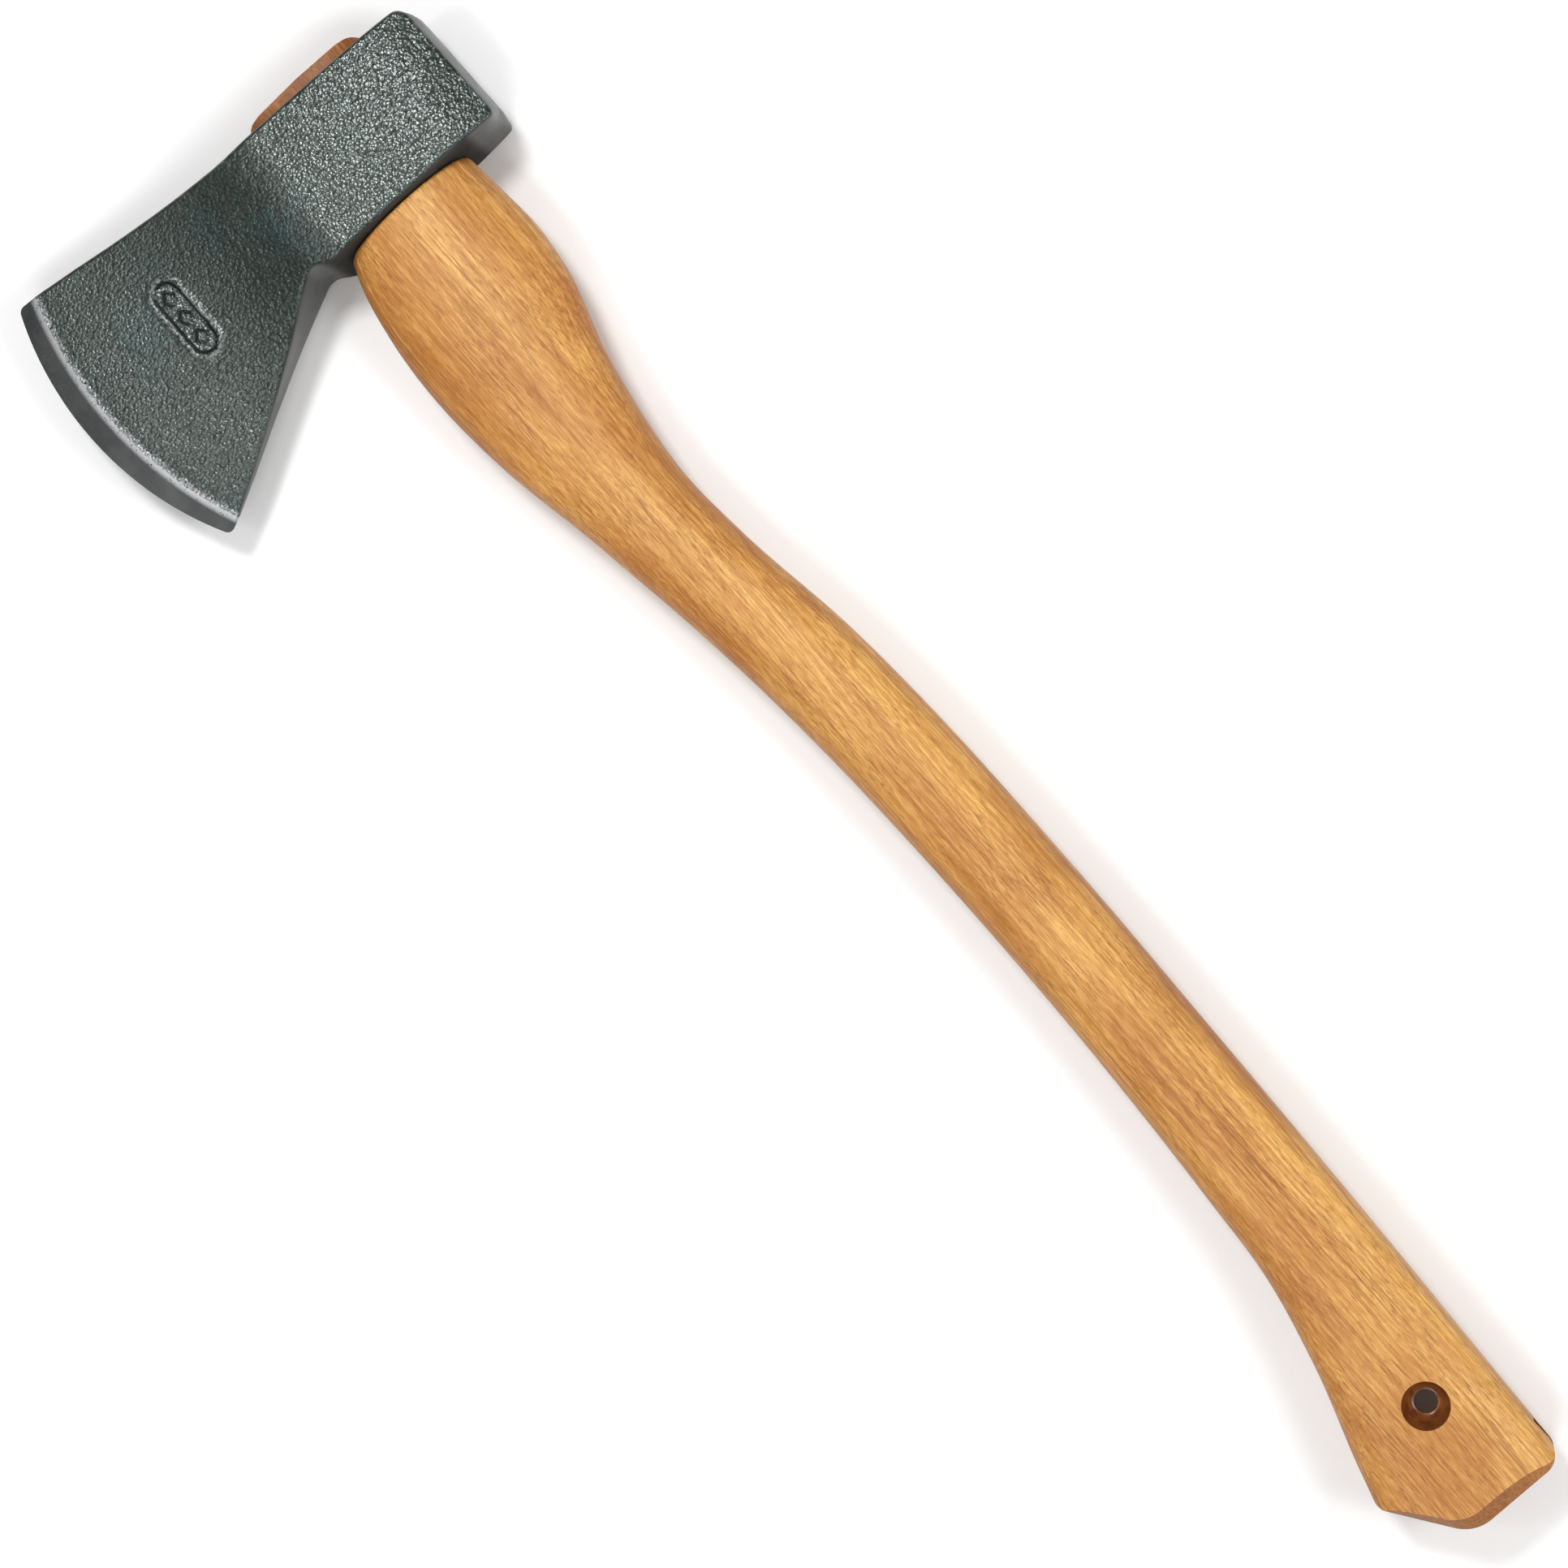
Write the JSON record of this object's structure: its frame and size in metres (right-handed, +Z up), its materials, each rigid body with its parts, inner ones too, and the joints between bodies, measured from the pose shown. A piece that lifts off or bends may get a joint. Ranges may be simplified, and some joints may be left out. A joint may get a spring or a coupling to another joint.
{
  "type": "camp axe",
  "caption": "Single-bit camp axe: dark painted forged head, curved varnished wooden handle with a dished lanyard hole, held by wedges in the eye.",
  "frame": {"origin": "middle of the axe's bounding box at its underside, on the surface the axe lies on", "axes": "+X along the handle from butt to head, +Y from the poll towards the cutting edge, +Z up, square to the cheeks, with the axe lying on one cheek"},
  "size_m": [0.5138, 0.1464, 0.0316],
  "materials": {
    "painted_steel": "dark green-black pebbled gloss paint on the cheeks, ground steel on the faces and along the edge",
    "varnished_hickory": "honey-coloured wood under clear varnish, fine lengthwise grain",
    "wedge_wood": "plain pale hardwood, sawn flush",
    "bare_steel": "bare steel, hammered flush"
  },
  "bodies": {
    "root": {"axe_head": "painted_steel", "handle": "varnished_hickory", "eye_wedge": "wedge_wood", "steel_wedge": "bare_steel"}
  },
  "joints": []
}
